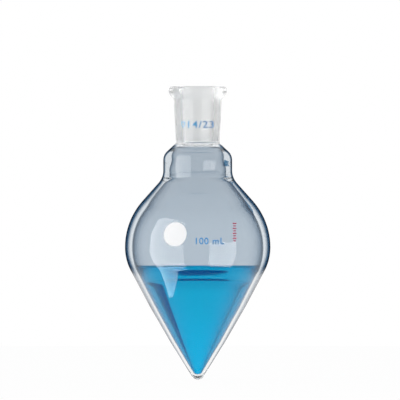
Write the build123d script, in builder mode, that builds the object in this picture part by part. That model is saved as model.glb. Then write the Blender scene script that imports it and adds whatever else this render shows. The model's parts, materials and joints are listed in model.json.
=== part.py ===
from build123d import *

import os
from math import atan2, cos, degrees, radians, sin, sqrt, tan

# A small pear-shaped flask with a ground socket, held upright and partly filled.
# Lengths are in millimetres and angles in degrees. Z points up the flask's axis,
# and the origin is the middle of the socket's mouth plane, so the body hangs below it.

# Ground socket: a 1:10 cone, 14.5 mm wide at the mouth and 23 mm long
ground_diameter = 14.5
ground_taper = 0.1
ground_length = 23.0
socket_wall = 3.2
socket_tail = 0.9
mouth_round = 0.5

# Bead round the mouth
bead_overhang = 2.22
bead_band = 2.9
bead_underside = 2.5
bead_foot_round = 1.2

# Shoulder between the socket and the neck
shoulder_lean = 47.0
shoulder_round = 5.0
shoulder_foot_round = 1.6
throat_round = 2.5

# Neck
neck_diameter = 29.1
neck_length = 6.49
neck_wall = 2.8

# Pear-shaped body: its outline is a chain of arcs, each tangent to the next
root_round = 8.17
slope_length = 10.0
bulb_diameter = 61.5
bulb_wall = 3.0
crown_height = 32.5
body_height = 55.99
haunch_round = 21.6
haunch_inner_round = 23.6
flank_bow = 480.0
tip_round = 2.9
tip_inner_round = 2.1
tip_wall = 2.1

# Liquid standing in the body
liquid_depth = 46.0
liquid_clearance = 0.15
meniscus_rise = 0.8
meniscus_round = 1.5
meniscus_crest = 0.2

# Round enamel spot fired onto the body, for pencil notes
spot_diameter = 10.0
spot_bearing = -18.3
spot_rise = 5.6
spot_thickness = 0.15


def ground_radius(depth):
    """Radius of the ground cone at a depth below the mouth plane."""
    return ground_diameter / 2 - ground_taper / 2 * depth


def socket_radius(depth):
    """Outer radius of the socket, parallel to the ground cone."""
    return ground_radius(depth) + socket_wall


# Radii and heights that follow from the sizes above
neck_radius = neck_diameter / 2
bulb_radius = bulb_diameter / 2
bead_depth = bead_band + bead_underside
bead_radius = socket_radius(bead_depth) + bead_overhang
socket_depth = ground_length + socket_tail
shoulder_depth = socket_depth + (neck_radius - socket_radius(socket_depth)) / tan(radians(shoulder_lean))
root_z = -shoulder_depth - neck_length
widest_z = root_z - crown_height
tip_z = widest_z - body_height

# Inside, each corner of the shoulder sits where walls of these thicknesses would meet
mitre = tan(radians(shoulder_lean) / 2)
throat_depth = socket_depth + socket_wall * mitre
inner_shoulder_depth = shoulder_depth + neck_wall * mitre


def fillet_for(reach, corner, before, after):
    """Radius of the arc that starts at this distance from a corner, along both sides of it."""
    turn = (Vector(*corner) - Vector(*before)).get_angle(Vector(*after) - Vector(*corner))
    return reach / tan(radians(turn) / 2)


def round_both(centre_a, radius_a, centre_b, radius_b, radius):
    """Centre of the arc of this radius that holds two circles inside it and touches both."""
    span = Vector(*centre_b) - Vector(*centre_a)
    side_a = radius - radius_a
    side_b = radius - radius_b
    along = (span.length**2 + side_a**2 - side_b**2) / (2 * span.length)
    across = sqrt(side_a**2 - along**2)
    return Vector(*centre_a) + span.normalized() * along + span.normalized().rotate(Axis.Z, -90) * across


def bearing(start, end):
    """Direction from one point of the section to another, in degrees."""
    step = Vector(*end) - Vector(*start)
    return degrees(atan2(step.Y, step.X))


def pear_line(neck_in=0.0, bulb_in=0.0, tip_in=0.0, haunch_radius=haunch_round, tip_radius=tip_round):
    """Draw half of the pear outline, from the foot of the neck down to the axis.

    The first three values say how far it lies inside the outer surface at each level.
    """
    neck_r = neck_radius - neck_in
    bulb_r = bulb_radius - bulb_in

    # A hollow arc below the neck, a straight slope of its own length, and the crown,
    # whose arc is as large as lets it end upright at the widest level
    root_r = root_round + neck_in
    root_centre = (neck_r + root_r, root_z)
    across = root_centre[0] - bulb_r
    crown_r = (across**2 + crown_height**2 - root_r**2 - slope_length**2) / (2 * (root_r - across))
    crown_centre = (bulb_r - crown_r, widest_z)
    lean = bearing(crown_centre, root_centre) - degrees(atan2(slope_length, crown_r + root_r))
    root = CenterArc(root_centre, root_r, 180, lean)
    crown = CenterArc(crown_centre, crown_r, 0, lean)
    Line(root @ 1, crown @ 1)

    # Haunch, bowed flank and rounded tip
    haunch_centre = (bulb_r - haunch_radius, widest_z)
    tip_centre = (0, tip_z + tip_in + tip_radius)
    flank_centre = round_both(haunch_centre, haunch_radius, tip_centre, tip_radius, flank_bow)
    haunch_turn = bearing(flank_centre, haunch_centre)
    tip_turn = bearing(flank_centre, tip_centre)
    CenterArc(haunch_centre, haunch_radius, 0, haunch_turn)
    CenterArc(flank_centre, flank_bow, haunch_turn, tip_turn - haunch_turn)
    CenterArc(tip_centre, tip_radius, tip_turn, -90 - tip_turn)


def inner_line(gap=0.0):
    """Draw half of the outline that lies this far inside the body's inner wall."""
    pear_line(
        neck_wall + gap,
        bulb_wall + gap,
        tip_wall + gap,
        haunch_inner_round - gap,
        tip_inner_round - gap,
    )


# Flask: one blown wall, with the bead, the socket and the neck drawn in the same section
inner_neck = (neck_radius - neck_wall, root_z)
inner_shoulder = (neck_radius - neck_wall, -inner_shoulder_depth)
throat = (ground_radius(throat_depth), -throat_depth)
mouth = (ground_radius(0), 0)
bead_top = (bead_radius, 0)
bead_side = (bead_radius, -bead_band)
bead_foot = (socket_radius(bead_depth), -bead_depth)
socket_foot = (socket_radius(socket_depth), -socket_depth)
shoulder = (neck_radius, -shoulder_depth)
outer_neck = (neck_radius, root_z)

bead_top_round = 0.45 * bead_band
bead_side_round = fillet_for(0.45 * bead_band, bead_side, bead_top, bead_foot)

with BuildPart() as flask:
    with BuildSketch(Plane.XZ):
        with BuildLine():
            FilletPolyline(
                inner_neck,
                inner_shoulder,
                throat,
                mouth,
                bead_top,
                bead_side,
                bead_foot,
                socket_foot,
                shoulder,
                outer_neck,
                radius=(
                    shoulder_round - neck_wall,
                    throat_round,
                    mouth_round,
                    bead_top_round,
                    bead_side_round,
                    bead_foot_round,
                    shoulder_foot_round,
                    shoulder_round,
                ),
            )
            pear_line()
            Line((0, tip_z), (0, tip_z + tip_wall))
            inner_line()
        make_face()
    revolve(axis=Axis.Z)
flask.part.label = "flask"

# Liquid: the inside of the body up to its level, less the air that stands on it.
# The air is drawn in and let out again by one radius, which rounds its lower corners,
# so the liquid's own edge is drawn up against the wall.
level_z = tip_z + tip_wall + liquid_depth
air_gap = liquid_clearance + meniscus_crest

with BuildSketch() as air_section:
    with BuildLine():
        inner_line(air_gap)
        Polyline((0, tip_z + tip_wall + air_gap), (0, root_z), (neck_radius - neck_wall - air_gap, root_z))
    make_face()
    mirror(about=Plane.YZ)
    with Locations((0, level_z)):
        Rectangle(2 * bulb_diameter, body_height, align=(Align.CENTER, Align.MAX), mode=Mode.SUBTRACT)
    offset(amount=-meniscus_round)
    offset(amount=meniscus_round)

with BuildPart() as liquid:
    with BuildSketch(Plane.XZ):
        with BuildLine():
            inner_line(liquid_clearance)
            Polyline(
                (0, tip_z + tip_wall + liquid_clearance),
                (0, root_z),
                (neck_radius - neck_wall - liquid_clearance, root_z),
            )
        make_face()
        with Locations((0, level_z + meniscus_rise)):
            Rectangle(2 * bulb_diameter, -tip_z, align=(Align.CENTER, Align.MIN), mode=Mode.SUBTRACT)
        add(air_section.sketch_local, mode=Mode.SUBTRACT)
    revolve(axis=Axis.Z)
liquid.part.label = "liquid"

# Writing spot: a round patch cut from a thin skin that lies on the body at its level
spot_z = widest_z + spot_rise
spot_facing = (sin(radians(spot_bearing)), -cos(radians(spot_bearing)), 0)

with BuildPart() as writing_spot:
    with BuildSketch(Plane.XZ):
        with BuildLine():
            pear_line()
            Line((neck_radius, root_z), (neck_radius + spot_thickness, root_z))
            pear_line(
                -spot_thickness,
                -spot_thickness,
                -spot_thickness,
                haunch_round + spot_thickness,
                tip_round + spot_thickness,
            )
            Line((0, tip_z), (0, tip_z - spot_thickness))
        make_face()
        with Locations((bulb_radius, spot_z)):
            Rectangle(bulb_radius, 1.5 * spot_diameter, mode=Mode.INTERSECT)
    revolve(axis=Axis.Z)
    with BuildSketch(Plane(origin=(0, 0, spot_z), z_dir=spot_facing)):
        Circle(spot_diameter / 2)
    extrude(amount=bulb_diameter, mode=Mode.INTERSECT)
writing_spot.part.label = "writing_spot"

# Files
os.makedirs("parts", exist_ok=True)
export_step(flask.part, "parts/flask.step")
export_step(liquid.part, "parts/liquid.step")
export_step(writing_spot.part, "parts/writing_spot.step")

print("height", round(-tip_z, 2), "mouth to tip")
print("flask", round(flask.part.volume / 1000, 2), "mL of glass")
print("liquid", round(liquid.part.volume / 1000, 2), "mL, level at", round(level_z, 2))
print("spot", round(writing_spot.part.volume, 2), "cubic mm")
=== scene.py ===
import json
from collections import namedtuple
from math import asin, atan2, ceil, cos, pi, radians, sin, sqrt, tan

import bmesh
import bpy
from bpy.props import FloatProperty, FloatVectorProperty, IntProperty, PointerProperty, StringProperty
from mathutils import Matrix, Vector

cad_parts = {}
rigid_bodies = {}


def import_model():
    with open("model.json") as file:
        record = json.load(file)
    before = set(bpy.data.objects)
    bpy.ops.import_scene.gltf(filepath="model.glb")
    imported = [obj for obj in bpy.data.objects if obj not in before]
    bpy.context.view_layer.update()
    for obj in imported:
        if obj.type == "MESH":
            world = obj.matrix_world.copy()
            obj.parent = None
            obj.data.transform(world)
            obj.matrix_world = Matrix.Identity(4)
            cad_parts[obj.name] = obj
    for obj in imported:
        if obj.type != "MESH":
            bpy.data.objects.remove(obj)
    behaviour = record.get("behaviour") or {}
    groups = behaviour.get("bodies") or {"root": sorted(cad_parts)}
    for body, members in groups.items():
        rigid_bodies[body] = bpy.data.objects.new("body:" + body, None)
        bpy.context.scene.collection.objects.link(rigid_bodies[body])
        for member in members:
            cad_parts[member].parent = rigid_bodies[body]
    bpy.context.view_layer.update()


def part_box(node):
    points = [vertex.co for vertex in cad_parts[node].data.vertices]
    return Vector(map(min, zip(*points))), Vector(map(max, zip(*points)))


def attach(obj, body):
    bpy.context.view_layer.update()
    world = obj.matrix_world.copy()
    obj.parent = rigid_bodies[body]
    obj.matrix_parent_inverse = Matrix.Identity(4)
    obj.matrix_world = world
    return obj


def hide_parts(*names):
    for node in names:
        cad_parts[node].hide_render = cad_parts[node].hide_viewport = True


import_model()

bl_info = {
    "name": "Pear-shaped Flask",
    "version": (1, 0, 0),
    "blender": (4, 5, 0),
    "location": "3D View > Sidebar > Flask",
    "description": "Blows a pear-shaped flask with a ground socket, fills it and prints its marks",
    "category": "Object",
}

# Finest bend of a turned section, longest straight run in it, and steps once round
BEND_STEP = radians(4)
RUN_STEP = 0.002
TURNS = 180

# Corners of a flat disc
DISC_CORNERS = 96

# Points that lie closer than this are one point
MERGE_REACH = 1e-6

# A print stands upright this far in front of the axis, is cut into strips of this width
# and is then laid on the glass, with this gap under it
HOLD_OFF = 0.05
STRIP_STEP = 0.0004
PRINT_GAP = 0.00003

# The turn that stands a flat piece upright, or holds the camera level
UPRIGHT = (pi / 2, 0, 0)

Arc = namedtuple("Arc", "centre radius start turn")


def length(name, default, description):
    """A size in metres that the sidebar shows in the scene's units."""
    return FloatProperty(name=name, description=description, default=default, unit="LENGTH", precision=5)


def angle(name, default, description):
    """An angle given in degrees."""
    return FloatProperty(name=name, description=description, default=radians(default), subtype="ANGLE")


def colour(name, default, description):
    """A surface colour."""
    return FloatVectorProperty(
        name=name, description=description, default=default, subtype="COLOR", size=4, min=0, max=1
    )


# Sizes and colours


class FlaskSizes(bpy.types.PropertyGroup):
    """Sizes of the blown glass."""

    ground_diameter: length("Ground diameter", 0.0145, "Width of the ground cone at the mouth")
    ground_taper: FloatProperty(name="Ground taper", description="Loss of width for its length", default=0.1)
    ground_length: length("Ground length", 0.023, "Length of the ground cone")
    socket_wall: length("Socket wall", 0.0032, "Glass round the ground cone")
    socket_tail: length("Socket tail", 0.0009, "Socket below the ground cone")
    mouth_round: length("Mouth round", 0.0005, "Rounding of the mouth's inner edge")
    bead_overhang: length("Bead overhang", 0.00222, "How far the bead stands out from the socket")
    bead_band: length("Bead band", 0.0029, "Height of the bead's upright side")
    bead_underside: length("Bead underside", 0.0025, "Height of the bead's sloping underside")
    bead_foot_round: length("Bead foot round", 0.0012, "Hollow where the bead meets the socket")
    shoulder_lean: angle("Shoulder lean", 47, "Slope of the shoulder from upright")
    shoulder_round: length("Shoulder round", 0.005, "Rounding of the shoulder's outer corner")
    shoulder_foot_round: length("Shoulder foot round", 0.0016, "Hollow where the socket meets the shoulder")
    throat_round: length("Throat round", 0.0012, "Rounding inside, below the ground cone")
    throat_drop: length("Throat drop", 0.0009, "Depth of that rounding's corner below the socket's foot")
    neck_diameter: length("Neck diameter", 0.0291, "Width of the neck")
    neck_length: length("Neck length", 0.00649, "Height of the neck from the shoulder's corner")
    neck_wall: length("Neck wall", 0.00255, "Glass at the neck's foot")
    dome_diameter: length("Dome diameter", 0.0204, "Width inside, where the shoulder meets the neck")
    dome_depth: length("Dome depth", 0.0023, "Depth of that corner below the socket's foot")
    dome_round: length("Dome round", 0.0028, "Rounding of that corner")
    draw_length: length("Draw length", 0.0037, "Upright part inside the neck's foot")
    draw_round: length("Draw round", 0.012, "Easing from that part into the dome")
    root_round: length("Root round", 0.00817, "Hollow below the neck")
    root_inner_round: length("Root inner round", 0.0025, "The same hollow inside")
    root_drop: length("Root drop", 0.0024, "How much lower the inner hollow starts")
    slope_length: length("Slope length", 0.01, "Straight part between the hollow and the crown")
    slope_inner_length: length("Slope inner length", 0.0156, "The same part inside")
    bulb_diameter: length("Bulb diameter", 0.0615, "Greatest width of the body")
    bulb_wall: length("Bulb wall", 0.003, "Glass at the greatest width")
    crown_height: length("Crown height", 0.0325, "From the neck's foot to the greatest width")
    body_height: length("Body height", 0.05599, "From the greatest width to the tip")
    haunch_round: length("Haunch round", 0.0216, "Outer arc below the greatest width")
    haunch_inner_round: length("Haunch inner round", 0.0236, "Inner arc below the greatest width")
    flank_bow: length("Flank bow", 0.48, "Radius of the slightly bowed flank")
    tip_round: length("Tip round", 0.0029, "Rounding of the tip outside")
    tip_inner_round: length("Tip inner round", 0.0021, "Rounding of the tip inside")
    tip_wall: length("Tip wall", 0.0021, "Glass at the tip")


class LiquidSizes(bpy.types.PropertyGroup):
    """Sizes of the liquid in the body."""

    depth: length("Depth", 0.046, "Depth of the liquid on the axis")
    clearance: length("Clearance", 0.00015, "Gap between the liquid and the glass")
    edge_rise: length("Edge rise", 0.0008, "How far the liquid is drawn up the glass")
    edge_round: length("Edge round", 0.0016, "Radius of the liquid's hollow edge")
    edge_crest: length("Edge crest", 0.00015, "Least thickness of the liquid's edge")


class PrintSizes(bpy.types.PropertyGroup):
    """Sizes and places of the spot and the printed marks."""

    spot_diameter: length("Spot diameter", 0.01, "Width of the round writing spot")
    spot_bearing: angle("Spot bearing", -18.3, "Direction that the writing spot faces")
    spot_level: length("Spot level", -0.06222, "Level of the writing spot")
    spot_thickness: length("Spot thickness", 0.00012, "Thickness of the fired enamel")
    ink_thickness: length("Ink thickness", 0.00003, "Thickness of the printed ink")
    socket_text: StringProperty(name="Socket mark", description="Mark on the socket", default="14/23")
    socket_text_left: length("Socket mark left", -0.0041, "Left edge of the socket mark")
    socket_text_foot: length("Socket mark foot", -0.01745, "Level of the socket mark's foot")
    socket_text_width: length("Socket mark width", 0.0109, "Width of the socket mark")
    socket_text_height: length("Socket mark height", 0.0029, "Height of the socket mark")
    body_text: StringProperty(name="Body mark", description="Mark on the body", default="100 mL")
    body_text_left: length("Body mark left", -0.0008, "Left edge of the body mark")
    body_text_foot: length("Body mark foot", -0.0663, "Level of the body mark's foot")
    body_text_width: length("Body mark width", 0.0119, "Width of the body mark")
    body_text_height: length("Body mark height", 0.0028, "Height of the body mark")
    cone_place: length("Cone place", -0.0061, "Middle of the cone sign across the flask")
    cone_level: length("Cone level", -0.016, "Level of the cone sign's middle")
    cone_reach: length("Cone reach", 0.0016, "From the middle to a corner of the square it is drawn in from")
    cone_line: length("Cone line", 0.00038, "Weight of its upper and lower lines")
    stroke_count: IntProperty(name="Strokes", description="Strokes in the upright row", default=8)
    stroke_place: length("Stroke place", 0.0154, "Middle of the row of strokes across the flask")
    stroke_top: length("Stroke top", -0.0577, "Level of the uppermost stroke")
    stroke_pitch: length("Stroke pitch", 0.00103, "Distance from one stroke to the next")
    stroke_weight: length("Stroke weight", 0.00042, "Height of a stroke")
    long_stroke: length("Long stroke", 0.0016, "Width of the first stroke and every other one")
    short_stroke: length("Short stroke", 0.001, "Width of the strokes between")


class FinishColours(bpy.types.PropertyGroup):
    """Colours of the glass, the liquid and the marks, with the painted shade of the glass and the liquid."""

    # Painted shade: the body's blue-grey stands in for the darker surroundings seen through the empty body
    body_glass_painted_shade: colour("Body glass", (0.665, 0.72, 0.77, 1), "Tint of the glass of the body")
    clear_glass: colour("Clear glass", (0.9, 0.905, 0.905, 1), "Tint of the glass of the socket and the tip")
    # Painted shade where the glass is looked along, for the dark bands that refraction gives at its edges
    edge_glass_painted_shade: colour("Edge glass", (0.5, 0.6, 0.68, 1), "Tint of glass that is looked along")
    liquid: colour("Liquid", (0.001, 0.58, 0.96, 1), "Tint of the liquid")
    # Painted shade where the liquid is looked along
    liquid_edge_painted_shade: colour("Liquid edge", (0.05, 0.92, 0.97, 1), "Tint of liquid that is looked along")
    enamel: colour("Enamel", (0.89, 0.89, 0.885, 1), "Writing spot")
    blue_ink: colour("Blue ink", (0.03, 0.27, 0.63, 1), "Capacity mark")
    # The socket mark is paler at its left end and deeper at its right
    pale_ink: colour("Pale ink", (0.20, 0.56, 0.88, 1), "Thin end of the socket mark")
    deep_ink: colour("Deep ink", (0.05, 0.20, 0.46, 1), "Full end of the socket mark")
    red_ink: colour("Red ink", (0.50, 0.03, 0.09, 1), "Upright row of strokes")


# Section drawing: straight runs and arcs in the XZ plane


def along(bearing):
    """The direction of a bearing in the XZ plane."""
    return Vector((cos(bearing), 0, sin(bearing)))


def bearing(start, end):
    """The bearing from one point of the section to another."""
    step = end - start
    return atan2(step.z, step.x)


def backwards(arcs):
    """The same arcs, followed from the other end."""
    return [Arc(a.centre, a.radius, a.start + a.turn, -a.turn) for a in reversed(arcs)]


def corner_arc(before, corner, after, radius):
    """The arc that rounds a corner of the section."""
    way_in = bearing(before, corner)
    turn = (bearing(corner, after) - way_in + pi) % (2 * pi) - pi
    side = 1 if turn > 0 else -1
    start = corner - along(way_in) * radius * tan(abs(turn) / 2)
    centre = start + along(way_in + side * pi / 2) * radius
    return Arc(centre, radius, way_in - side * pi / 2, turn)


def round_corners(points, rounds):
    """The arcs that round the inner points of a line of corners."""
    return [
        corner_arc(before, corner, after, radius)
        for before, corner, after, radius in zip(points, points[1:], points[2:], rounds)
    ]


def start_section(name, start):
    """A new mesh of one point, where a section is started."""
    bpy.ops.object.select_all(action="DESELECT")
    bpy.ops.mesh.primitive_plane_add(size=RUN_STEP)
    piece = bpy.context.object
    piece.name = name
    piece.data.name = name
    bpy.ops.object.mode_set(mode="EDIT")
    bpy.ops.mesh.merge(type="CENTER")
    bpy.ops.transform.translate(value=start)
    return piece


def run_to(piece, end):
    """Draw on to a point in short straight steps."""
    mesh = bmesh.from_edit_mesh(piece.data)
    pen = next(v.co.copy() for v in mesh.verts if v.select)
    distance = (end - pen).length
    if distance < MERGE_REACH:
        return
    steps = ceil(distance / RUN_STEP)
    for _ in range(steps):
        bpy.ops.mesh.extrude_region_move(TRANSFORM_OT_translate={"value": (end - pen) / steps})


def follow(piece, arcs):
    """Draw on along arcs, with a straight run from each to the next."""
    for arc in arcs:
        run_to(piece, arc.centre + along(arc.start) * arc.radius)
        steps = ceil(abs(arc.turn) / BEND_STEP) + 1
        bpy.ops.mesh.spin(steps=steps, angle=arc.turn, center=arc.centre, axis=(0, 1, 0))


def turn_section(piece):
    """Turn the section once round the axis and close its seam and poles."""
    bpy.ops.mesh.select_all(action="SELECT")
    bpy.ops.mesh.spin(steps=TURNS, angle=2 * pi, center=(0, 0, 0), axis=(0, 0, 1))
    bpy.ops.mesh.select_all(action="SELECT")
    bpy.ops.mesh.remove_doubles(threshold=MERGE_REACH)
    bpy.ops.mesh.normals_make_consistent(inside=False)
    bpy.ops.object.mode_set(mode="OBJECT")
    bpy.ops.object.shade_smooth()


def mark_inner_wall(piece):
    """Mark the points of the wall that face the axis, for the glass material."""
    marks = piece.data.attributes.new("inner_wall", "FLOAT", "POINT").data
    for point, mark in zip(piece.data.vertices, marks):
        outwards = Vector((point.co.x, point.co.y, 0))
        mark.value = 1.0 if point.normal.dot(outwards) < 0 else 0.0


# Shape of the flask


def ground_radius(sizes, depth):
    """Radius of the ground cone at a depth below the mouth."""
    return sizes.ground_diameter / 2 - sizes.ground_taper / 2 * depth


def socket_radius(sizes, depth):
    """Outer radius of the socket at a depth below the mouth."""
    return ground_radius(sizes, depth) + sizes.socket_wall


def shoulder_depth(sizes):
    """Depth of the shoulder's outer corner."""
    foot = sizes.ground_length + sizes.socket_tail
    return foot + (sizes.neck_diameter / 2 - socket_radius(sizes, foot)) / tan(sizes.shoulder_lean)


def inner_neck_radius(sizes):
    """Radius inside the neck's foot."""
    return sizes.neck_diameter / 2 - sizes.neck_wall


def root_level(sizes):
    """Level where the neck ends and the body starts."""
    return -shoulder_depth(sizes) - sizes.neck_length


def widest_level(sizes):
    """Level of the greatest width."""
    return root_level(sizes) - sizes.crown_height


def tip_level(sizes):
    """Lowest level of the glass."""
    return widest_level(sizes) - sizes.body_height


def chain_arcs(neck_foot, root_r, slope, bulb_r, widest, haunch_radius, flank_bow, tip, tip_radius):
    """The arcs of a pear's outline from the neck's foot down to the axis, each tangent to the next."""
    # Hollow below the neck, straight slope, and crown
    root_centre = neck_foot + Vector((root_r, 0, 0))
    across = root_centre.x - bulb_r
    crown_r = across**2 + (neck_foot.z - widest) ** 2 - root_r**2 - slope**2
    crown_r /= 2 * (root_r - across)
    crown_centre = Vector((bulb_r - crown_r, 0, widest))
    lean = bearing(crown_centre, root_centre) - atan2(slope, crown_r + root_r)

    # Haunch, bowed flank and tip: the flank's arc holds the other two circles inside it
    haunch_centre = Vector((bulb_r - haunch_radius, 0, widest))
    tip_centre = Vector((0, 0, tip + tip_radius))
    span = tip_centre - haunch_centre
    side_a = flank_bow - haunch_radius
    side_b = flank_bow - tip_radius
    reach = (span.length_squared + side_a**2 - side_b**2) / (2 * span.length)
    sideways = sqrt(side_a**2 - reach**2)
    heading = bearing(haunch_centre, tip_centre)
    flank_centre = haunch_centre + along(heading) * reach + along(heading - pi / 2) * sideways
    haunch_turn = bearing(flank_centre, haunch_centre)
    tip_turn = bearing(flank_centre, tip_centre)

    return [
        Arc(root_centre, root_r, pi, lean),
        Arc(crown_centre, crown_r, lean, -lean),
        Arc(haunch_centre, haunch_radius, 0, haunch_turn),
        Arc(flank_centre, flank_bow, haunch_turn, tip_turn - haunch_turn),
        Arc(tip_centre, tip_radius, tip_turn, -pi / 2 - tip_turn),
    ]


def outer_arcs(sizes):
    """The arcs of the body's outer wall."""
    return chain_arcs(
        Vector((sizes.neck_diameter / 2, 0, root_level(sizes))),
        sizes.root_round,
        sizes.slope_length,
        sizes.bulb_diameter / 2,
        widest_level(sizes),
        sizes.haunch_round,
        sizes.flank_bow,
        tip_level(sizes),
        sizes.tip_round,
    )


def inner_arcs(sizes, gap=0.0):
    """The arcs of the outline that lies this far inside the body's inner wall."""
    return chain_arcs(
        Vector((inner_neck_radius(sizes) - gap, 0, root_level(sizes) - sizes.root_drop)),
        sizes.root_inner_round + gap,
        sizes.slope_inner_length,
        sizes.bulb_diameter / 2 - sizes.bulb_wall - gap,
        widest_level(sizes),
        sizes.haunch_inner_round - gap,
        sizes.flank_bow,
        tip_level(sizes) + sizes.tip_wall + gap,
        sizes.tip_inner_round - gap,
    )


def mouth_arcs(sizes):
    """The arcs of the neck, the socket and the bead, from inside the neck round to its outside."""
    neck_r = sizes.neck_diameter / 2
    inner_neck_r = inner_neck_radius(sizes)
    root = root_level(sizes)
    inner_root = root - sizes.root_drop
    foot_depth = sizes.ground_length + sizes.socket_tail
    throat_depth = foot_depth + sizes.throat_drop
    bead_depth = sizes.bead_band + sizes.bead_underside
    bead_r = socket_radius(sizes, bead_depth) + sizes.bead_overhang
    bead_top = Vector((bead_r, 0, 0))
    bead_side = Vector((bead_r, 0, -sizes.bead_band))
    bead_foot = Vector((socket_radius(sizes, bead_depth), 0, -bead_depth))
    corners = [
        Vector((inner_neck_r, 0, inner_root)),
        Vector((inner_neck_r, 0, inner_root + sizes.draw_length)),
        Vector((sizes.dome_diameter / 2, 0, -foot_depth - sizes.dome_depth)),
        Vector((ground_radius(sizes, throat_depth), 0, -throat_depth)),
        Vector((ground_radius(sizes, 0), 0, 0)),
        bead_top,
        bead_side,
        bead_foot,
        Vector((socket_radius(sizes, foot_depth), 0, -foot_depth)),
        Vector((neck_r, 0, -shoulder_depth(sizes))),
        Vector((neck_r, 0, root)),
    ]

    # Each of the bead's two rounds takes this much of its upright side
    bead_reach = 0.45 * sizes.bead_band
    bead_turn = (bead_side - bead_top).angle(bead_foot - bead_side)
    rounds = [
        sizes.draw_round,
        sizes.dome_round,
        sizes.throat_round,
        sizes.mouth_round,
        bead_reach,
        bead_reach / tan(bead_turn / 2),
        sizes.bead_foot_round,
        sizes.shoulder_foot_round,
        sizes.shoulder_round,
    ]
    return round_corners(corners, rounds)


# Material helpers

# Two colour inputs and the colour output of a Mix node, whose names stand for others too
MIX_FIRST, MIX_SECOND, MIX_RESULT = 6, 7, 2


def feed(tree, socket, source):
    """Give an input a value, or join another node's output to it."""
    if isinstance(source, bpy.types.NodeSocket):
        tree.links.new(source, socket)
    else:
        socket.default_value = source


def add_node(tree, kind, **values):
    """A node with its settings, and with a value or another node's output for its inputs."""
    node = tree.nodes.new(kind)
    for key, value in values.items():
        if hasattr(node, key):
            setattr(node, key, value)
        else:
            feed(tree, node.inputs[key.replace("_", " ")], value)
    return node


def new_material(name):
    """A material with its shader and output joined, its node tree and its shader."""
    material = bpy.data.materials.new(name)
    material.use_nodes = True
    return material, material.node_tree, material.node_tree.nodes["Principled BSDF"]


def object_axes(tree):
    """The object's own coordinates, as one output for each axis."""
    place = tree.nodes.new("ShaderNodeTexCoord")
    return add_node(tree, "ShaderNodeSeparateXYZ", Vector=place.outputs["Object"]).outputs


def place_group(tree, name, build, **values):
    """Place a node group in a material. It is built the first time that it is needed."""
    group = bpy.data.node_groups.get(name) or build()
    return add_node(tree, "ShaderNodeGroup", node_tree=group, **values)


def height_band_group():
    """A mask that goes from 0 to 1 between two levels of the object."""
    group = bpy.data.node_groups.new("height_band", "ShaderNodeTree")
    for name in ("Lower level", "Upper level"):
        socket = group.interface.new_socket(name, in_out="INPUT", socket_type="NodeSocketFloat")
        socket.subtype = "DISTANCE"
    group.interface.new_socket("Mask", in_out="OUTPUT", socket_type="NodeSocketFloat")
    levels = group.nodes.new("NodeGroupInput").outputs
    band = add_node(
        group,
        "ShaderNodeMapRange",
        interpolation_type="SMOOTHSTEP",
        Value=object_axes(group)["Z"],
        From_Min=levels["Lower level"],
        From_Max=levels["Upper level"],
    )
    add_node(group, "NodeGroupOutput", Mask=band.outputs["Result"])
    return group


def height_band(tree, lower, upper):
    """Place the height mask in a material."""
    node = place_group(tree, "height_band", height_band_group, Lower_level=lower, Upper_level=upper)
    return node.outputs["Mask"]


def ripple_group():
    """The slow waves of hand-blown glass and the fine grain of a fired or ground surface."""
    group = bpy.data.node_groups.new("surface_ripple", "ShaderNodeTree")
    for name, default in (("Wave scale", 60.0), ("Grain scale", 4000.0), ("Grain share", 0.1)):
        socket = group.interface.new_socket(name, in_out="INPUT", socket_type="NodeSocketFloat")
        socket.default_value = default
    group.interface.new_socket("Height", in_out="OUTPUT", socket_type="NodeSocketFloat")
    values = group.nodes.new("NodeGroupInput").outputs
    place = group.nodes.new("ShaderNodeTexCoord").outputs["Object"]
    wave = add_node(group, "ShaderNodeTexNoise", Vector=place, Scale=values["Wave scale"], Detail=1.0)
    grain = add_node(group, "ShaderNodeTexNoise", Vector=place, Scale=values["Grain scale"], Detail=2.0)
    mix = add_node(
        group,
        "ShaderNodeMix",
        data_type="FLOAT",
        Factor=values["Grain share"],
        A=wave.outputs["Fac"],
        B=grain.outputs["Fac"],
    )
    add_node(group, "NodeGroupOutput", Height=mix.outputs["Result"])
    return group


def ripple(tree, shader, distance, **values):
    """Place the ripple in a material and let it bend the surface by a small distance."""
    height = place_group(tree, "surface_ripple", ripple_group, **values).outputs["Height"]
    bump = add_node(tree, "ShaderNodeBump", Distance=distance, Height=height)
    tree.links.new(bump.outputs["Normal"], shader.inputs["Normal"])
    return height


def blend_colours(tree, factor, first, second):
    """Mix two colours, each a value or another node's output, by a mask."""
    mix = add_node(tree, "ShaderNodeMix", data_type="RGBA", Factor=factor)
    feed(tree, mix.inputs[MIX_FIRST], first)
    feed(tree, mix.inputs[MIX_SECOND], second)
    return mix.outputs[MIX_RESULT]


def calculate(tree, operation, first, second):
    """What a Math node makes of two numbers, each a value or another node's output."""
    node = add_node(tree, "ShaderNodeMath", operation=operation)
    feed(tree, node.inputs[0], first)
    feed(tree, node.inputs[1], second)
    return node.outputs["Value"]


def multiply(tree, first, second):
    """The product of two masks."""
    return calculate(tree, "MULTIPLY", first, second)


def stops(tree, factor, marks):
    """A ramp of grey values, each mark a place and its value."""
    node = add_node(tree, "ShaderNodeValToRGB", Fac=factor)
    ramp = node.color_ramp
    while len(ramp.elements) < len(marks):
        ramp.elements.new(0.5)
    for element, (place, value) in zip(ramp.elements, marks):
        element.position = place
        element.color = (value, value, value, 1)
    return node.outputs["Color"]


def deepened(tone, share):
    """A colour with only this share of its light."""
    return [share * value for value in tone[:3]] + [1]


def turned_away(tree):
    """How far a surface is turned away from the view, from 0 to 1."""
    return add_node(tree, "ShaderNodeLayerWeight", Blend=0.5).outputs["Facing"]


def met_from_inside(tree):
    """A mask of what is met from inside the material."""
    return tree.nodes.new("ShaderNodeNewGeometry").outputs["Backfacing"]


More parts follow.
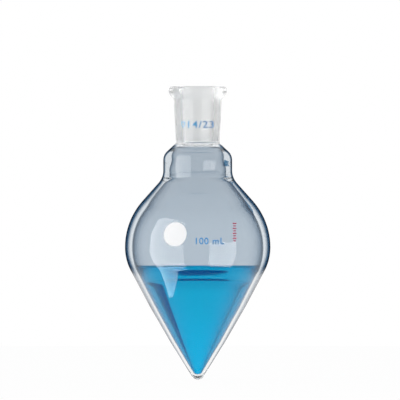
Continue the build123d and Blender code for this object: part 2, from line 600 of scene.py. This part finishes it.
def make_clear(shader, index, reflection):
    """Let light through, with this refractive index and this share of its reflection."""
    shader.inputs["IOR"].default_value = index
    shader.inputs["Specular Tint"].default_value = (reflection, reflection, reflection, 1)
    shader.inputs["Transmission Weight"].default_value = 1.0


def coat_painted_shade(tree, shader, weight, tone):
    """Tint the light that passes the surface, by a mask, with a coat that has no gloss of its own: here it
    paints shade where glass and liquid are looked along.
    """
    tree.links.new(weight, shader.inputs["Coat Weight"])
    shader.inputs["Coat Tint"].default_value = tone
    shader.inputs["Coat IOR"].default_value = 1.0
    shader.inputs["Coat Roughness"].default_value = 0.0


def seen_rays(tree):
    """A mask of the rays that look at the stage: straight, through glass or in a reflection."""
    path = tree.nodes.new("ShaderNodeLightPath").outputs
    direct = calculate(tree, "MAXIMUM", path["Is Camera Ray"], path["Is Transmission Ray"])
    return calculate(tree, "MAXIMUM", direct, path["Is Glossy Ray"])


def mix_surfaces(tree, factor, first, second, output):
    """Join a tree's output to a mix of two of its shaders."""
    mix = add_node(tree, "ShaderNodeMixShader", Fac=factor)
    tree.links.new(first, mix.inputs[1])
    tree.links.new(second, mix.inputs[2])
    tree.links.new(mix.outputs["Shader"], tree.nodes[output].inputs["Surface"])


# Materials

# Levels between which a finish changes: the body's painted blue-grey shade starts below the liquid's surface
# and is deeper in the crown, the thick tip is worn, and the liquid has painted shade near its surface
BODY_SHADE_LEVELS = (-0.081, -0.0755)
CROWN_SHADE_LEVELS = (-0.062, -0.040)
TIP_LEVELS = (-0.1195, -0.1215)
LIQUID_SHADE_LEVELS = (-0.125, -0.078)

# How much painted edge shade a surface takes, as marks of how far it is turned away from the view.
# The last one is for the inner wall met from inside the glass, and ends where it starts to mirror
OUTER_EDGE = ((0.62, 0.0), (0.74, 1.0))
INNER_EDGE = ((0.45, 0.0), (0.70, 0.35), (0.82, 1.0))
LIQUID_EDGE = ((0.0, 0.35), (0.35, 0.5), (0.62, 0.9))
MIRROR_EDGE = ((0.14, 0.0), (0.21, 0.25), (0.250, 1.0), (0.262, 1.0), (0.268, 0.0))

GROUND_ROUGHNESS = 0.75
WORN_ROUGHNESS = 0.16
INK_ROUGHNESS = 0.45
ENAMEL_ROUGHNESS = 0.5

# The socket mark's ink goes from pale to deep between this far left and right of the axis
INK_SPREAD = 0.006


def glass_tint_and_painted_shade(tree, colours, below_socket, above_tip):
    """Painted blue-grey shade in the body, deeper in the crown, and clear in the socket and below the
    liquid's surface.
    """
    # Painted shade: blue-grey in the body, darker in the crown under the neck
    crown = height_band(tree, *CROWN_SHADE_LEVELS)
    body_painted_shade = blend_colours(tree, crown, colours.body_glass_painted_shade, deepened(colours.body_glass_painted_shade, share=0.93))
    return blend_colours(tree, multiply(tree, below_socket, above_tip), colours.clear_glass, body_painted_shade)


def glass_edge_painted_shade(tree, below_socket, above_tip):
    """How much painted shade the glass takes where it is looked along, for the dark bands that refraction
    gives at the wall's edges.
    """
    # Painted shade in a narrow band outside, a wider one inside and a fine line along the wall's inner edge,
    # all of them half as strong near the tip
    away = turned_away(tree)
    inside = met_from_inside(tree)
    wall = add_node(tree, "ShaderNodeAttribute", attribute_name="inner_wall").outputs["Fac"]
    front = blend_colours(tree, wall, stops(tree, away, OUTER_EDGE), stops(tree, away, INNER_EDGE))
    back = multiply(tree, stops(tree, away, MIRROR_EDGE), wall)
    strength = stops(tree, above_tip, ((0.0, 0.5), (1.0, 1.0)))
    return multiply(tree, blend_colours(tree, inside, front, back), multiply(tree, below_socket, strength))


def glass_roughness(tree, sizes, foot, tail):
    """Rough on the ground cone, a little worn on the rest of the socket and on the thick tip."""
    axes = object_axes(tree)
    flat = add_node(tree, "ShaderNodeCombineXYZ", X=axes["X"], Y=axes["Y"])
    radius = add_node(tree, "ShaderNodeVectorMath", operation="LENGTH", Vector=flat.outputs["Vector"])
    bore_radius = sizes.ground_diameter / 2 + sizes.mouth_round
    bore = calculate(tree, "LESS_THAN", radius.outputs["Value"], bore_radius)
    blur = 0.0004
    ground = multiply(tree, bore, height_band(tree, foot - blur, foot + blur))
    socket = height_band(tree, tail, foot)
    worn = blend_colours(tree, height_band(tree, *TIP_LEVELS), socket, (1, 1, 1, 1))
    ground_share = multiply(tree, ground, GROUND_ROUGHNESS)
    return calculate(tree, "ADD", ground_share, multiply(tree, worn, WORN_ROUGHNESS))


def glass_finish(sizes, colours):
    """Clear blown glass with painted blue-grey shade in the body and painted shade at its edges, frosted
    where the socket is ground.
    """
    material, tree, shader = new_material("blown_glass")
    make_clear(shader, index=1.474, reflection=0.15)

    # The painted shade of the neck, in its tint and at its edges, starts at the seam below the ground cone
    # and reaches its whole strength at the tail
    foot = -sizes.ground_length
    seam = foot - 0.0007
    tail = foot - 0.002
    below_socket = height_band(tree, seam, tail)
    above_tip = height_band(tree, *BODY_SHADE_LEVELS)
    tree.links.new(glass_tint_and_painted_shade(tree, colours, below_socket, above_tip), shader.inputs["Base Color"])
    # Painted shade at the edges of the glass
    coat_painted_shade(tree, shader, glass_edge_painted_shade(tree, below_socket, above_tip), colours.edge_glass_painted_shade)
    tree.links.new(glass_roughness(tree, sizes, foot, tail), shader.inputs["Roughness"])
    ripple(tree, shader, distance=0.00006, Wave_scale=55.0, Grain_scale=3000.0, Grain_share=0.02)
    return material


def liquid_finish(colours):
    """Clear blue liquid, with painted shade near its surface and where it is looked along."""
    material, tree, shader = new_material("blue_liquid")
    make_clear(shader, index=1.333, reflection=0.05)
    shader.inputs["Roughness"].default_value = 0.0
    # Painted shade: the liquid is darker towards its surface
    surface_shade_mask = height_band(tree, *LIQUID_SHADE_LEVELS)
    tint = blend_colours(tree, surface_shade_mask, colours.liquid, deepened(colours.liquid, share=0.8))
    tree.links.new(tint, shader.inputs["Base Color"])
    # Painted shade on the liquid's front faces, strongest where it is looked along
    edge = stops(tree, turned_away(tree), LIQUID_EDGE)
    front_edge = blend_colours(tree, met_from_inside(tree), edge, (0, 0, 0, 1))
    coat_painted_shade(tree, shader, front_edge, colours.liquid_edge_painted_shade)
    return material


def fired_finish(name, tone, roughness):
    """Enamel or ink fired onto the glass: nearly flat, with a fine grain."""
    material, tree, shader = new_material(name)
    shader.inputs["Specular IOR Level"].default_value = 0.06
    grain = ripple(tree, shader, distance=0.00001, Wave_scale=900.0, Grain_scale=9000.0, Grain_share=0.5)
    paler = [min(1.0, 1.06 * value + 0.01) for value in tone[:3]] + [1]
    tree.links.new(blend_colours(tree, grain, tone, paler), shader.inputs["Base Color"])
    spread = 0.08
    patchy = stops(tree, grain, ((0.0, roughness - spread), (1.0, roughness + spread)))
    tree.links.new(patchy, shader.inputs["Roughness"])
    return material


def enamel_finish(tone):
    """White enamel, with a faint glow that keeps it white in the shade."""
    material = fired_finish("white_enamel", tone, ENAMEL_ROUGHNESS)
    shader = material.node_tree.nodes["Principled BSDF"]
    shader.inputs["Emission Color"].default_value = tone
    shader.inputs["Emission Strength"].default_value = 0.1
    return material


def ink_finish(name, deep_end, pale_end):
    """Fired ink that is paler towards its left end."""
    material = fired_finish(name, deep_end, INK_ROUGHNESS)
    tree = material.node_tree
    base = tree.nodes["Principled BSDF"].inputs["Base Color"]
    deep_end_ink = base.links[0].from_socket
    across = add_node(tree, "ShaderNodeMapRange", Value=object_axes(tree)["X"])
    across.inputs["From Min"].default_value = -INK_SPREAD
    across.inputs["From Max"].default_value = INK_SPREAD
    tree.links.new(blend_colours(tree, across.outputs["Result"], pale_end, deep_end_ink), base)
    return material


def floor_finish():
    """Floor that looks nearly plain white, with a trace of the flask's shadow."""
    material, tree, shader = new_material("pale_floor")
    shader.inputs["Base Color"].default_value = (0.97, 0.97, 0.97, 1)
    shader.inputs["Roughness"].default_value = 0.9
    shader.inputs["Specular IOR Level"].default_value = 0.0
    plain = add_node(tree, "ShaderNodeEmission", Strength=1.0).outputs["Emission"]
    plain_share = 0.97
    mask = multiply(tree, seen_rays(tree), plain_share)
    mix_surfaces(tree, mask, shader.outputs["BSDF"], plain, "Material Output")
    return material


def glow_finish(name, tone, brightness):
    """An even glow, for a card of the stage."""
    material, tree, shader = new_material(name)
    tree.nodes.remove(shader)
    light = add_node(tree, "ShaderNodeEmission", Color=tone, Strength=brightness)
    tree.links.new(light.outputs["Emission"], tree.nodes["Material Output"].inputs["Surface"])
    return material


# Pieces


def settle(piece, slot, material, *nodes):
    """Give a finished piece its material and its place in the frame."""
    piece.data.materials.clear()
    piece.data.materials.append(material)
    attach(piece, "root")
    if nodes:
        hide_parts(*nodes)


def apply_all(piece):
    """Apply a piece's modifiers in their order."""
    for modifier in list(piece.modifiers):
        bpy.ops.object.modifier_apply(modifier=modifier.name)


def lay_on_glass(piece, axis, thickness):
    """Lay a flat piece on the glass along one of its own axes, and give it its thickness."""
    wrap = piece.modifiers.new("lay", "SHRINKWRAP")
    wrap.target = bpy.data.objects["blown_flask"]
    wrap.wrap_method = "PROJECT"
    wrap.use_project_z = axis == "-Z"
    wrap.use_project_y = axis == "Y"
    wrap.use_negative_direction = axis == "-Z"
    wrap.use_positive_direction = axis == "Y"
    wrap.offset = PRINT_GAP
    wall = piece.modifiers.new("wall", "SOLIDIFY")
    wall.thickness = thickness
    wall.offset = 1
    apply_all(piece)


def cut_up(piece):
    """Cut a flat piece in upright and level strips, so it can follow the glass."""
    bpy.ops.object.mode_set(mode="EDIT")
    for axis in ((1, 0, 0), (0, 0, 1)):
        normal = Vector(axis)
        reach = [normal.dot(piece.matrix_world @ v.co) for v in piece.data.vertices]
        for index in range(1, ceil((max(reach) - min(reach)) / STRIP_STEP)):
            bpy.ops.mesh.select_all(action="SELECT")
            bpy.ops.mesh.bisect(plane_co=normal * (min(reach) + index * STRIP_STEP), plane_no=normal)
    bpy.ops.object.mode_set(mode="OBJECT")


def print_flat(piece, ink):
    """Print a flat, upright piece on the front of the glass."""
    bpy.ops.object.transform_apply(location=True, rotation=True, scale=True)
    cut_up(piece)
    lay_on_glass(piece, "Y", bpy.context.scene.flask_prints.ink_thickness)
    settle(piece, "white_enamel", ink)


def print_text(name, words, left, foot, width, height, ink):
    """Print words on the front of the glass, from a left edge and on a foot line."""
    bpy.ops.object.select_all(action="DESELECT")
    bpy.ops.object.text_add(rotation=UPRIGHT)
    piece = bpy.context.object
    lettering = piece.data
    lettering.body = words
    lettering.size = 0.004
    lettering.space_character = 1.1
    lettering.offset = 0.00003
    bpy.ops.object.convert(target="MESH")
    piece.name = name
    across = width / piece.dimensions.x
    up = height / piece.dimensions.y
    piece.scale = (across, up, 1)
    piece.location = (left - across * min(v.co.x for v in piece.data.vertices), -HOLD_OFF, foot)
    print_flat(piece, ink)


class FLASK_OT_blow_glass(bpy.types.Operator):
    """Turn the flask's glass from its section"""

    bl_idname = "flask.blow_glass"
    bl_label = "Blow Glass"

    def execute(self, context):
        sizes = context.scene.flask_sizes
        piece = start_section("blown_flask", Vector((0, 0, tip_level(sizes) + sizes.tip_wall)))
        follow(piece, backwards(inner_arcs(sizes)))
        follow(piece, mouth_arcs(sizes))
        follow(piece, outer_arcs(sizes))
        turn_section(piece)
        mark_inner_wall(piece)
        settle(piece, "clear_glass", glass_finish(sizes, context.scene.flask_colours), "flask")
        return {"FINISHED"}


class FLASK_OT_pour_liquid(bpy.types.Operator):
    """Fill the body with liquid up to its level"""

    bl_idname = "flask.pour_liquid"
    bl_label = "Pour Liquid"

    def execute(self, context):
        sizes = context.scene.flask_sizes
        liquid = context.scene.flask_liquid
        bottom = tip_level(sizes) + sizes.tip_wall
        level = bottom + liquid.depth
        crest = level + liquid.edge_rise

        # Up along the glass to the crest of the edge
        tip, flank, haunch = backwards(inner_arcs(sizes, liquid.clearance))[:3]
        crest_bearing = asin((crest - haunch.centre.z) / haunch.radius)
        wet = haunch._replace(turn=crest_bearing - haunch.start)

        # Down the hollow edge, and level in to the axis
        lift = level + liquid.edge_round - haunch.centre.z
        reach = haunch.radius - liquid.edge_crest - liquid.edge_round
        hollow = Vector((haunch.centre.x + sqrt(reach**2 - lift**2), 0, level + liquid.edge_round))
        edge_bearing = asin((crest - hollow.z) / liquid.edge_round)
        edge = Arc(hollow, liquid.edge_round, edge_bearing, -pi / 2 - edge_bearing)

        piece = start_section("blue_water", Vector((0, 0, bottom + liquid.clearance)))
        follow(piece, [tip, flank, wet, edge])
        run_to(piece, Vector((0, 0, level)))
        turn_section(piece)
        settle(piece, "blue_liquid", liquid_finish(context.scene.flask_colours), "liquid")
        return {"FINISHED"}


class FLASK_OT_fire_spot(bpy.types.Operator):
    """Fire the round enamel writing spot onto the body"""

    bl_idname = "flask.fire_spot"
    bl_label = "Fire Writing Spot"

    def execute(self, context):
        sizes = context.scene.flask_prints
        bearing_x, bearing_y = sin(sizes.spot_bearing), -cos(sizes.spot_bearing)
        radius = sizes.spot_diameter / 2
        rings = 10
        bpy.ops.object.select_all(action="DESELECT")
        bpy.ops.mesh.primitive_circle_add(
            vertices=DISC_CORNERS,
            radius=radius,
            fill_type="NGON",
            location=(HOLD_OFF * bearing_x, HOLD_OFF * bearing_y, sizes.spot_level),
            rotation=(pi / 2, 0, sizes.spot_bearing),
        )
        piece = bpy.context.object
        piece.name = "enamel_spot"
        bpy.ops.object.mode_set(mode="EDIT")
        for _ in range(rings - 1):
            bpy.ops.mesh.inset(thickness=radius / rings)
        bpy.ops.mesh.poke()
        bpy.ops.object.mode_set(mode="OBJECT")
        lay_on_glass(piece, "-Z", sizes.spot_thickness)
        bpy.ops.object.transform_apply(location=True, rotation=True, scale=True)
        bpy.ops.object.shade_smooth_by_angle(angle=radians(40))
        settle(piece, "white_enamel", enamel_finish(context.scene.flask_colours.enamel), "writing_spot")
        return {"FINISHED"}


class FLASK_OT_print_marks(bpy.types.Operator):
    """Print the numbers, the cone sign and the red strokes on the glass"""

    bl_idname = "flask.print_marks"
    bl_label = "Print Marks"

    def execute(self, context):
        sizes = context.scene.flask_prints
        colours = context.scene.flask_colours
        socket_ink = ink_finish("socket_ink", colours.deep_ink, colours.pale_ink)
        blue_ink = fired_finish("blue_ink", colours.blue_ink, INK_ROUGHNESS)
        red_ink = fired_finish("red_ink", colours.red_ink, INK_ROUGHNESS)
        print_text(
            "socket_mark",
            sizes.socket_text,
            sizes.socket_text_left,
            sizes.socket_text_foot,
            sizes.socket_text_width,
            sizes.socket_text_height,
            socket_ink,
        )
        print_text(
            "capacity_mark",
            sizes.body_text,
            sizes.body_text_left,
            sizes.body_text_foot,
            sizes.body_text_width,
            sizes.body_text_height,
            blue_ink,
        )
        self.print_cone(sizes, socket_ink)
        self.print_strokes(sizes, red_ink)
        return {"FINISHED"}

    def print_cone(self, sizes, ink):
        """A small cone in outline, the sign of a ground cone."""
        middle = Vector((sizes.cone_place, -HOLD_OFF, sizes.cone_level))
        corners = 4
        bpy.ops.object.select_all(action="DESELECT")
        bpy.ops.mesh.primitive_circle_add(
            vertices=corners, radius=sizes.cone_reach, fill_type="NGON", location=middle, rotation=UPRIGHT
        )
        piece = bpy.context.object
        piece.name = "cone_mark"
        bpy.ops.object.mode_set(mode="EDIT")
        bpy.ops.transform.rotate(value=pi / corners, orient_axis="Y", center_override=middle)
        bpy.ops.mesh.inset(thickness=sizes.cone_line)
        bpy.ops.mesh.delete(type="FACE")

        # Each corner of the frame is drawn in towards the middle, to a share that grows upwards
        height = 1.5 * sizes.cone_reach
        middle_share, growth = 0.575, 0.35
        bpy.ops.mesh.select_all(action="DESELECT")
        for index in range(2 * corners):
            mesh = bmesh.from_edit_mesh(piece.data)
            mesh.verts.ensure_lookup_table()
            corner = mesh.verts[index]
            corner.select_set(True)
            rise = (piece.matrix_world @ corner.co - middle).z / height
            share = middle_share + growth * rise
            bpy.ops.transform.resize(value=(share, 1, 1), center_override=middle)
            bpy.ops.mesh.select_all(action="DESELECT")
        bpy.ops.object.mode_set(mode="OBJECT")
        print_flat(piece, ink)

    def print_strokes(self, sizes, ink):
        """A short upright row of strokes, long and short by turns."""
        bpy.ops.object.select_all(action="DESELECT")
        for index in range(sizes.stroke_count):
            level = sizes.stroke_top - sizes.stroke_pitch * index
            bpy.ops.mesh.primitive_plane_add(
                size=1, location=(sizes.stroke_place, -HOLD_OFF, level), rotation=UPRIGHT
            )
            width = sizes.long_stroke if index % 2 == 0 else sizes.short_stroke
            stroke = bpy.context.object
            stroke.scale = (width, sizes.stroke_weight, 1)
            stroke.name = f"stroke_{index}"
        for stroke in bpy.data.objects:
            stroke.select_set(stroke.name.startswith("stroke_"))
        bpy.ops.object.join()
        piece = bpy.context.object
        piece.name = "red_strokes"
        print_flat(piece, ink)


class FLASK_OT_set_stage(bpy.types.Operator):
    """Set the floor, the lamps, the cards and the camera"""

    bl_idname = "flask.set_stage"
    bl_label = "Set Stage"

    def execute(self, context):
        self.lay_floor()

        # Soft boxes on both sides of the camera light the flask, and two windows in front of it
        # only show as reflections. Azimuths are degrees round the axis, from the camera's side.
        self.soft_box("left_box", azimuth=-52, radiance=1.3)
        self.soft_box("right_box", azimuth=40, radiance=1.1)
        self.window("left_window", azimuths=(-79, -22), elevations=(-50, 42), distance=0.35, brightness=20)
        self.window("right_window", azimuths=(18, 62), elevations=(-40, 8), distance=0.35, brightness=22)

        # Behind, cards that only show through the liquid and the glass: a dark flag on the
        # right, and low down a long dark oval that the underside of the liquid's surface mirrors
        self.flag("dark_flag", azimuths=(126, 162), elevations=(22, 38), distance=0.4, brightness=0.35)
        self.flag("dark_oval", azimuths=(168, 192), elevations=(-2.1, -0.8), distance=0.3, brightness=0.4)
        bpy.ops.object.mode_set(mode="EDIT")
        bpy.ops.mesh.bevel(offset=0.5, segments=12, affect="VERTICES")
        bpy.ops.object.mode_set(mode="OBJECT")

        self.light_world(context.scene)
        self.set_camera(context.scene)
        return {"FINISHED"}

    def lay_floor(self):
        """A wide floor just below the tip."""
        gap = 0.001
        floor_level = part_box("flask")[0].z - gap
        bpy.ops.object.select_all(action="DESELECT")
        bpy.ops.mesh.primitive_circle_add(
            vertices=DISC_CORNERS, radius=0.5, fill_type="NGON", location=(0, 0, floor_level)
        )
        floor = bpy.context.object
        floor.name = "pale_floor"
        floor.data.materials.append(floor_finish())
        floor.visible_glossy = False

    def soft_box(self, name, azimuth, radiance):
        """A rectangular lamp that faces the flask and isn't seen in it or through it."""
        distance = 0.7
        height = 0.1
        aim = Vector((0, 0, -0.06))
        place = Vector((sin(radians(azimuth)) * distance, -cos(radians(azimuth)) * distance, height))
        lamp = bpy.data.lights.new(name, "AREA")
        lamp.shape = "RECTANGLE"
        lamp.size = 0.5
        lamp.size_y = 0.6
        lamp.energy = radiance * pi * lamp.size * lamp.size_y
        lamp_object = bpy.data.objects.new(name, lamp)
        bpy.context.scene.collection.objects.link(lamp_object)
        lamp_object.visible_glossy = False
        lamp_object.visible_transmission = False
        lamp_object.location = place
        lamp_object.rotation_euler = (aim - place).to_track_quat("-Z", "Y").to_euler()

    def card(self, name, azimuths, elevations, distance, material):
        """An upright card that faces the axis and fills a range of directions, seen from eye level."""
        eye_level = -0.07
        middle = radians(sum(azimuths) / 2)
        half_width = distance * tan(radians(azimuths[1] - azimuths[0]) / 2)
        low, high = (distance * tan(radians(e)) for e in elevations)
        bpy.ops.mesh.primitive_plane_add(
            size=1,
            location=(sin(middle) * distance, -cos(middle) * distance, eye_level + (low + high) / 2),
            rotation=(pi / 2, 0, middle),
        )
        card = bpy.context.object
        card.name = name
        card.scale = (2 * half_width, high - low, 1)
        card.visible_camera = False
        card.visible_diffuse = False
        card.visible_shadow = False
        card.visible_volume_scatter = False
        card.data.materials.append(material)
        return card

    def window(self, name, azimuths, elevations, distance, brightness):
        """A bright white card that only shows as a reflection in the glass."""
        white = (1, 1, 1, 1)
        card = self.card(name, azimuths, elevations, distance, glow_finish(name, white, brightness))
        card.visible_transmission = False

    def flag(self, name, azimuths, elevations, distance, brightness):
        """A dark navy card that only shows through the liquid and the glass."""
        navy = (0.0, 0.5, 1.0, 1)
        card = self.card(name, azimuths, elevations, distance, glow_finish(name, navy, brightness))
        card.visible_glossy = False

    def light_world(self, scene):
        """White surroundings for the eye, and a softer, bluish light from them."""
        world = bpy.data.worlds.new("studio")
        scene.world = world
        world.use_nodes = True
        tree = world.node_tree
        fill = tree.nodes["Background"]
        fill.inputs["Color"].default_value = (0.95, 0.97, 1.0, 1)
        fill.inputs["Strength"].default_value = 0.55
        soft = fill.outputs["Background"]
        white = add_node(tree, "ShaderNodeBackground", Color=(1, 1, 1, 1), Strength=1.0).outputs["Background"]
        mix_surfaces(tree, seen_rays(tree), soft, white, "World Output")

    def set_camera(self, scene):
        """A distant camera, level with the middle of the picture."""
        middle = Vector((0.00097, 0, -0.0479))
        distance = 2.0
        picture_width = 0.1692
        camera = bpy.data.cameras.new("camera")
        camera.sensor_width = 36
        camera.lens = camera.sensor_width * distance / picture_width
        camera_object = bpy.data.objects.new("camera", camera)
        scene.collection.objects.link(camera_object)
        camera_object.location = middle + Vector((0, -distance, 0))
        camera_object.rotation_euler = UPRIGHT
        scene.camera = camera_object
        scene.view_settings.view_transform = "Standard"

        # Light passes many walls on its way through the flask
        bounces = 24
        scene.cycles.max_bounces = bounces
        scene.cycles.transmission_bounces = bounces
        scene.cycles.glossy_bounces = bounces


class FLASK_PT_sidebar(bpy.types.Panel):
    """Lists the flask's steps and sizes in the sidebar"""

    bl_idname = "FLASK_PT_sidebar"
    bl_label = "Pear-shaped Flask"
    bl_space_type = "VIEW_3D"
    bl_region_type = "UI"
    bl_category = "Flask"

    def draw(self, context):
        scene = context.scene
        for step in STEPS:
            self.layout.operator(step)
        for group in (scene.flask_sizes, scene.flask_liquid, scene.flask_prints, scene.flask_colours):
            box = self.layout.box()
            for name in type(group).__annotations__:
                box.prop(group, name)


STEPS = ("flask.blow_glass", "flask.pour_liquid", "flask.fire_spot", "flask.print_marks", "flask.set_stage")

CLASSES = (
    FlaskSizes,
    LiquidSizes,
    PrintSizes,
    FinishColours,
    FLASK_OT_blow_glass,
    FLASK_OT_pour_liquid,
    FLASK_OT_fire_spot,
    FLASK_OT_print_marks,
    FLASK_OT_set_stage,
    FLASK_PT_sidebar,
)


def register():
    for kind in CLASSES:
        bpy.utils.register_class(kind)
    bpy.types.Scene.flask_sizes = PointerProperty(type=FlaskSizes)
    bpy.types.Scene.flask_liquid = PointerProperty(type=LiquidSizes)
    bpy.types.Scene.flask_prints = PointerProperty(type=PrintSizes)
    bpy.types.Scene.flask_colours = PointerProperty(type=FinishColours)


def unregister():
    del bpy.types.Scene.flask_colours
    del bpy.types.Scene.flask_prints
    del bpy.types.Scene.flask_liquid
    del bpy.types.Scene.flask_sizes
    for kind in reversed(CLASSES):
        bpy.utils.unregister_class(kind)


def main():
    register()
    bpy.ops.flask.blow_glass()
    bpy.ops.flask.pour_liquid()
    bpy.ops.flask.fire_spot()
    bpy.ops.flask.print_marks()
    bpy.ops.flask.set_stage()


if __name__ == "__main__":
    main()
